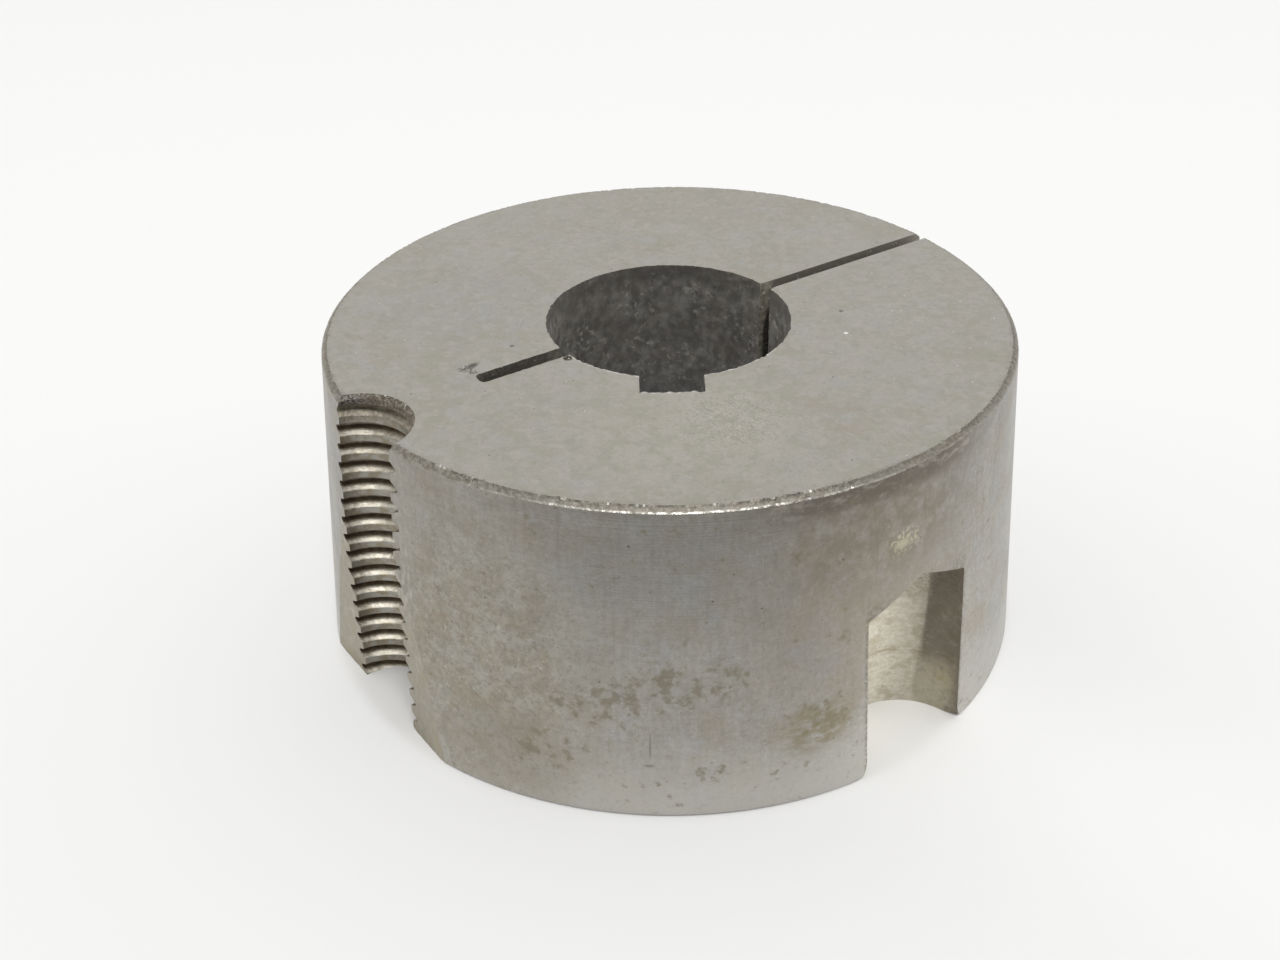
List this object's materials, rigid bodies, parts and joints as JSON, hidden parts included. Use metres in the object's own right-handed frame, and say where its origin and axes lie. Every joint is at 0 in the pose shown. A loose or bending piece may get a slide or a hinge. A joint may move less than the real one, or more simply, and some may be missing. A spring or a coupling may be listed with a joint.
{
  "type": "taper bush",
  "caption": "Split tapered bush that clamps a keyed shaft in a tapered hub, with plain and threaded half-holes at its edge for the screws that fit and free it.",
  "frame": {"origin": "centre of the bore in the plane of the large end face", "axes": "+Z along the bore from the large end to the small end; the keyway faces -Y"},
  "size_m": [0.0572, 0.0572, 0.0254],
  "materials": {
    "machined_iron": "turned and ground, dulled by handling"
  },
  "bodies": {
    "root": {"taper_bush": "machined_iron"}
  },
  "joints": []
}
